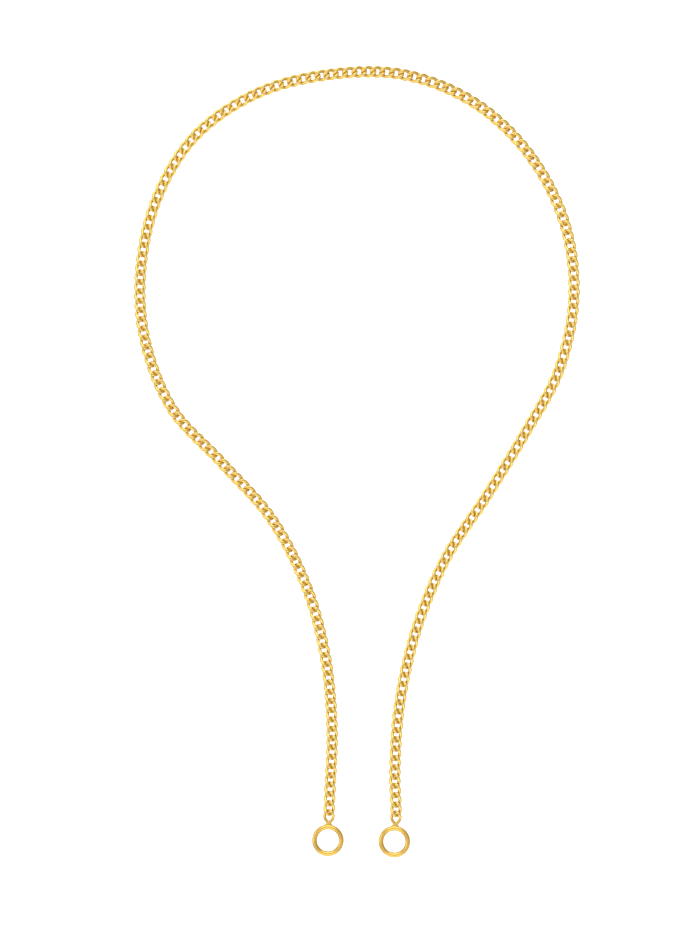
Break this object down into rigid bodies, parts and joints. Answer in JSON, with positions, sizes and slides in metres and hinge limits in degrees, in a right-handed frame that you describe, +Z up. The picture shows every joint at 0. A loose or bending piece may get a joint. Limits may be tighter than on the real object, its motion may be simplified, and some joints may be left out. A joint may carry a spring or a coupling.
{
  "type": "chain necklace",
  "caption": "Flat curb chain necklace without a clasp, laid out in a keyhole-shaped loop, with a closed ring soldered to the link at each end for a separate connector.",
  "frame": {"origin": "middle of the necklace's outline, on the surface it lies on", "axes": "+Z up from that surface; +Y from the two rings towards the round bend; +X across, so the left arm is at -X"},
  "size_m": [0.106, 0.1882, 0.0012],
  "materials": {
    "chain_gold": "polished yellow gold colour, links rolled flat and cut bright on top",
    "ring_gold": "polished yellow gold colour, round wire"
  },
  "bodies": {
    "middle_run": {"middle_run": "chain_gold"},
    "left_run_01": {"left_run_01": "chain_gold"},
    "left_run_02": {"left_run_02": "chain_gold"},
    "left_run_03": {"left_run_03": "chain_gold"},
    "left_run_04": {"left_run_04": "chain_gold"},
    "left_run_05": {"left_run_05": "chain_gold"},
    "left_run_06": {"left_run_06": "chain_gold"},
    "left_run_07": {"left_run_07": "chain_gold"},
    "left_run_08": {"left_run_08": "chain_gold"},
    "left_run_09": {"left_run_09": "chain_gold"},
    "left_run_10": {"left_run_10": "chain_gold"},
    "left_run_11": {"left_run_11": "chain_gold"},
    "left_run_12": {"left_run_12": "chain_gold"},
    "left_run_13": {"left_run_13": "chain_gold"},
    "left_run_14": {"left_run_14": "chain_gold"},
    "left_run_15": {"left_run_15": "chain_gold"},
    "left_run_16": {"left_run_16": "chain_gold"},
    "left_run_17": {"left_run_17": "chain_gold"},
    "left_run_18": {"left_run_18": "chain_gold"},
    "left_run_19": {"left_run_19": "chain_gold"},
    "left_run_20": {"left_run_20": "chain_gold"},
    "left_run_21": {"left_run_21": "chain_gold"},
    "left_run_22": {"left_run_22": "chain_gold"},
    "left_run_23": {"left_run_23": "chain_gold"},
    "left_run_24": {"left_run_24": "chain_gold"},
    "left_ring_end": {"left_end_link": "ring_gold", "left_ring": "ring_gold"},
    "right_run_01": {"right_run_01": "chain_gold"},
    "right_run_02": {"right_run_02": "chain_gold"},
    "right_run_03": {"right_run_03": "chain_gold"},
    "right_run_04": {"right_run_04": "chain_gold"},
    "right_run_05": {"right_run_05": "chain_gold"},
    "right_run_06": {"right_run_06": "chain_gold"},
    "right_run_07": {"right_run_07": "chain_gold"},
    "right_run_08": {"right_run_08": "chain_gold"},
    "right_run_09": {"right_run_09": "chain_gold"},
    "right_run_10": {"right_run_10": "chain_gold"},
    "right_run_11": {"right_run_11": "chain_gold"},
    "right_run_12": {"right_run_12": "chain_gold"},
    "right_run_13": {"right_run_13": "chain_gold"},
    "right_run_14": {"right_run_14": "chain_gold"},
    "right_run_15": {"right_run_15": "chain_gold"},
    "right_run_16": {"right_run_16": "chain_gold"},
    "right_run_17": {"right_run_17": "chain_gold"},
    "right_run_18": {"right_run_18": "chain_gold"},
    "right_run_19": {"right_run_19": "chain_gold"},
    "right_run_20": {"right_run_20": "chain_gold"},
    "right_run_21": {"right_run_21": "chain_gold"},
    "right_run_22": {"right_run_22": "chain_gold"},
    "right_run_23": {"right_run_23": "chain_gold"},
    "right_run_24": {"right_run_24": "chain_gold"},
    "right_ring_end": {"right_end_link": "ring_gold", "right_ring": "ring_gold"}
  },
  "joints": [
    {"name": "left_ring_end_lift", "type": "hinge", "parent": "left_run_24", "child": "left_ring_end", "pos_m": [-0.00672, -0.08339, 0.00061], "axis": [0.9991, -0.0422, 0], "range_deg": [-30, 0]},
    {"name": "right_ring_end_lift", "type": "hinge", "parent": "right_run_24", "child": "right_ring_end", "pos_m": [0.00918, -0.0837, 0.00061], "axis": [-0.9995, 0.0307, 0], "range_deg": [0, 30]},
    {"name": "left_run_01_lift", "type": "hinge", "parent": "middle_run", "child": "left_run_01", "pos_m": [-0.0073, 0.09196, 0.00061], "axis": [0.1319, -0.9913, 0], "range_deg": [-30, 0]},
    {"name": "right_run_01_lift", "type": "hinge", "parent": "middle_run", "child": "right_run_01", "pos_m": [0.00374, 0.09269, 0.00061], "axis": [-0.0169, -0.9999, 0], "range_deg": [0, 30]},
    {"name": "left_run_02_swing", "type": "hinge", "parent": "left_run_01", "child": "left_run_02", "pos_m": [-0.01598, 0.0903, 0.00061], "axis": [0, 0, 1], "range_deg": [-15, 1.5]},
    {"name": "right_run_02_swing", "type": "hinge", "parent": "right_run_01", "child": "right_run_02", "pos_m": [0.01252, 0.09168, 0.00061], "axis": [0, 0, 1], "range_deg": [-1.5, 15]},
    {"name": "left_run_03_lift", "type": "hinge", "parent": "left_run_02", "child": "left_run_03", "pos_m": [-0.02432, 0.08735, 0.00061], "axis": [0.4239, -0.9057, 0], "range_deg": [-30, 0]},
    {"name": "right_run_03_lift", "type": "hinge", "parent": "right_run_02", "child": "right_run_03", "pos_m": [0.02092, 0.08894, 0.00061], "axis": [-0.3949, -0.9187, 0], "range_deg": [0, 30]},
    {"name": "left_run_04_swing", "type": "hinge", "parent": "left_run_03", "child": "left_run_04", "pos_m": [-0.032, 0.08297, 0.00061], "axis": [0, 0, -1], "range_deg": [-1.5, 15]},
    {"name": "right_run_04_swing", "type": "hinge", "parent": "right_run_03", "child": "right_run_04", "pos_m": [0.02869, 0.08472, 0.00061], "axis": [0, 0, -1], "range_deg": [-15, 1.5]},
    {"name": "left_run_05_lift", "type": "hinge", "parent": "left_run_04", "child": "left_run_05", "pos_m": [-0.03873, 0.07725, 0.00061], "axis": [0.7311, -0.6823, 0], "range_deg": [-30, 0]},
    {"name": "right_run_05_lift", "type": "hinge", "parent": "right_run_04", "child": "right_run_05", "pos_m": [0.03552, 0.07911, 0.00061], "axis": [-0.6998, -0.7143, 0], "range_deg": [0, 30]},
    {"name": "left_run_06_swing", "type": "hinge", "parent": "left_run_05", "child": "left_run_06", "pos_m": [-0.04398, 0.07014, 0.00061], "axis": [0, 0, -1], "range_deg": [-2, 15]},
    {"name": "right_run_06_swing", "type": "hinge", "parent": "right_run_05", "child": "right_run_06", "pos_m": [0.04131, 0.07242, 0.00061], "axis": [0, 0, -1], "range_deg": [-15, 2]},
    {"name": "left_run_07_lift", "type": "hinge", "parent": "left_run_06", "child": "left_run_07", "pos_m": [-0.04783, 0.06218, 0.00061], "axis": [0.9324, -0.3613, 0], "range_deg": [-30, 0]},
    {"name": "right_run_07_lift", "type": "hinge", "parent": "right_run_06", "child": "right_run_07", "pos_m": [0.04592, 0.06488, 0.00061], "axis": [-0.8915, -0.453, 0], "range_deg": [0, 30]},
    {"name": "left_run_08_swing", "type": "hinge", "parent": "left_run_07", "child": "left_run_08", "pos_m": [-0.05031, 0.05369, 0.00061], "axis": [0, 0, 1], "range_deg": [-15, 2]},
    {"name": "right_run_08_swing", "type": "hinge", "parent": "right_run_07", "child": "right_run_08", "pos_m": [0.04926, 0.05669, 0.00061], "axis": [0, 0, 1], "range_deg": [-2, 15]},
    {"name": "left_run_09_lift", "type": "hinge", "parent": "left_run_08", "child": "left_run_09", "pos_m": [-0.05154, 0.04493, 0.00061], "axis": [0.9973, -0.073, 0], "range_deg": [-30, 0]},
    {"name": "right_run_09_lift", "type": "hinge", "parent": "right_run_08", "child": "right_run_09", "pos_m": [0.05109, 0.04804, 0.00061], "axis": [-0.9921, -0.1253, 0], "range_deg": [0, 30]},
    {"name": "left_run_10_swing", "type": "hinge", "parent": "left_run_09", "child": "left_run_10", "pos_m": [-0.05155, 0.03608, 0.00061], "axis": [0, 0, 1], "range_deg": [-15, 2.5]},
    {"name": "right_run_10_swing", "type": "hinge", "parent": "right_run_09", "child": "right_run_10", "pos_m": [0.05147, 0.03921, 0.00061], "axis": [0, 0, 1], "range_deg": [-2.5, 15]},
    {"name": "left_run_11_lift", "type": "hinge", "parent": "left_run_10", "child": "left_run_11", "pos_m": [-0.05011, 0.02736, 0.00061], "axis": [0.9699, 0.2435, 0], "range_deg": [-30, 0]},
    {"name": "right_run_11_lift", "type": "hinge", "parent": "right_run_10", "child": "right_run_11", "pos_m": [0.05035, 0.03044, 0.00061], "axis": [-0.9793, 0.2026, 0], "range_deg": [0, 30]},
    {"name": "left_run_12_swing", "type": "hinge", "parent": "left_run_11", "child": "left_run_12", "pos_m": [-0.04732, 0.01897, 0.00061], "axis": [0, 0, -1], "range_deg": [-2.5, 15]},
    {"name": "right_run_12_swing", "type": "hinge", "parent": "right_run_11", "child": "right_run_12", "pos_m": [0.04797, 0.02192, 0.00061], "axis": [0, 0, -1], "range_deg": [-15, 2.5]},
    {"name": "left_run_13_lift", "type": "hinge", "parent": "left_run_12", "child": "left_run_13", "pos_m": [-0.04312, 0.01119, 0.00061], "axis": [0.8105, 0.5858, 0], "range_deg": [-30, 0]},
    {"name": "right_run_13_lift", "type": "hinge", "parent": "right_run_12", "child": "right_run_13", "pos_m": [0.04413, 0.01396, 0.00061], "axis": [-0.8658, 0.5005, 0], "range_deg": [0, 30]},
    {"name": "left_run_14_swing", "type": "hinge", "parent": "left_run_13", "child": "left_run_14", "pos_m": [-0.03715, 0.00467, 0.00061], "axis": [0, 0, -1], "range_deg": [-3, 15]},
    {"name": "right_run_14_swing", "type": "hinge", "parent": "right_run_13", "child": "right_run_14", "pos_m": [0.03962, 0.00634, 0.00061], "axis": [0, 0, -1], "range_deg": [-15, 3]},
    {"name": "left_run_15_lift", "type": "hinge", "parent": "left_run_14", "child": "left_run_15", "pos_m": [-0.03096, -0.00166, 0.00061], "axis": [0.727, 0.6866, 0], "range_deg": [-30, 0]},
    {"name": "right_run_15_lift", "type": "hinge", "parent": "right_run_14", "child": "right_run_15", "pos_m": [0.03506, -0.00125, 0.00061], "axis": [-0.8501, 0.5267, 0], "range_deg": [0, 30]},
    {"name": "left_run_16_swing", "type": "hinge", "parent": "left_run_15", "child": "left_run_16", "pos_m": [-0.02487, -0.00807, 0.00061], "axis": [0, 0, 1], "range_deg": [-15, 4]},
    {"name": "right_run_16_swing", "type": "hinge", "parent": "right_run_15", "child": "right_run_16", "pos_m": [0.03034, -0.00874, 0.00061], "axis": [0, 0, 1], "range_deg": [-4, 15]},
    {"name": "left_run_17_lift", "type": "hinge", "parent": "left_run_16", "child": "left_run_17", "pos_m": [-0.01946, -0.01507, 0.00061], "axis": [0.8415, 0.5403, 0], "range_deg": [-30, 0]},
    {"name": "right_run_17_lift", "type": "hinge", "parent": "right_run_16", "child": "right_run_17", "pos_m": [0.02533, -0.01604, 0.00061], "axis": [-0.8222, 0.5692, 0], "range_deg": [0, 30]},
    {"name": "left_run_18_swing", "type": "hinge", "parent": "left_run_17", "child": "left_run_18", "pos_m": [-0.01514, -0.02279, 0.00061], "axis": [0, 0, 1], "range_deg": [-15, 5]},
    {"name": "right_run_18_swing", "type": "hinge", "parent": "right_run_17", "child": "right_run_18", "pos_m": [0.0207, -0.02358, 0.00061], "axis": [0, 0, 1], "range_deg": [-5, 15]},
    {"name": "left_run_19_lift", "type": "hinge", "parent": "left_run_18", "child": "left_run_19", "pos_m": [-0.01165, -0.03092, 0.00061], "axis": [0.9384, 0.3455, 0], "range_deg": [-30, 0]},
    {"name": "right_run_19_lift", "type": "hinge", "parent": "right_run_18", "child": "right_run_19", "pos_m": [0.01701, -0.03162, 0.00061], "axis": [-0.9265, 0.3764, 0], "range_deg": [0, 30]},
    {"name": "left_run_20_swing", "type": "hinge", "parent": "left_run_19", "child": "left_run_20", "pos_m": [-0.00909, -0.03939, 0.00061], "axis": [0, 0, -1], "range_deg": [-6.5, 15]},
    {"name": "right_run_20_swing", "type": "hinge", "parent": "right_run_19", "child": "right_run_20", "pos_m": [0.01402, -0.03995, 0.00061], "axis": [0, 0, -1], "range_deg": [-15, 6.5]},
    {"name": "left_run_21_lift", "type": "hinge", "parent": "left_run_20", "child": "left_run_21", "pos_m": [-0.00732, -0.04806, 0.00061], "axis": [0.9874, 0.1581, 0], "range_deg": [-30, 0]},
    {"name": "right_run_21_lift", "type": "hinge", "parent": "right_run_20", "child": "right_run_21", "pos_m": [0.01173, -0.0485, 0.00061], "axis": [-0.9759, 0.2183, 0], "range_deg": [0, 30]},
    {"name": "left_run_22_swing", "type": "hinge", "parent": "left_run_21", "child": "left_run_22", "pos_m": [-0.00634, -0.05686, 0.00061], "axis": [0, 0, -1], "range_deg": [-10, 15]},
    {"name": "right_run_22_swing", "type": "hinge", "parent": "right_run_21", "child": "right_run_22", "pos_m": [0.01012, -0.0572, 0.00061], "axis": [0, 0, -1], "range_deg": [-15, 10]},
    {"name": "left_run_23_lift", "type": "hinge", "parent": "left_run_22", "child": "left_run_23", "pos_m": [-0.00598, -0.0657, 0.00061], "axis": [1, 0.001, 0], "range_deg": [-30, 0]},
    {"name": "right_run_23_lift", "type": "hinge", "parent": "right_run_22", "child": "right_run_23", "pos_m": [0.00922, -0.06601, 0.00061], "axis": [-0.9981, 0.0624, 0], "range_deg": [0, 30]},
    {"name": "left_run_24_swing", "type": "hinge", "parent": "left_run_23", "child": "left_run_24", "pos_m": [-0.00633, -0.07455, 0.00061], "axis": [0, 0, 1], "range_deg": [-15, 15]},
    {"name": "right_run_24_swing", "type": "hinge", "parent": "right_run_23", "child": "right_run_24", "pos_m": [0.0089, -0.07485, 0.00061], "axis": [0, 0, 1], "range_deg": [-15, 15]}
  ]
}
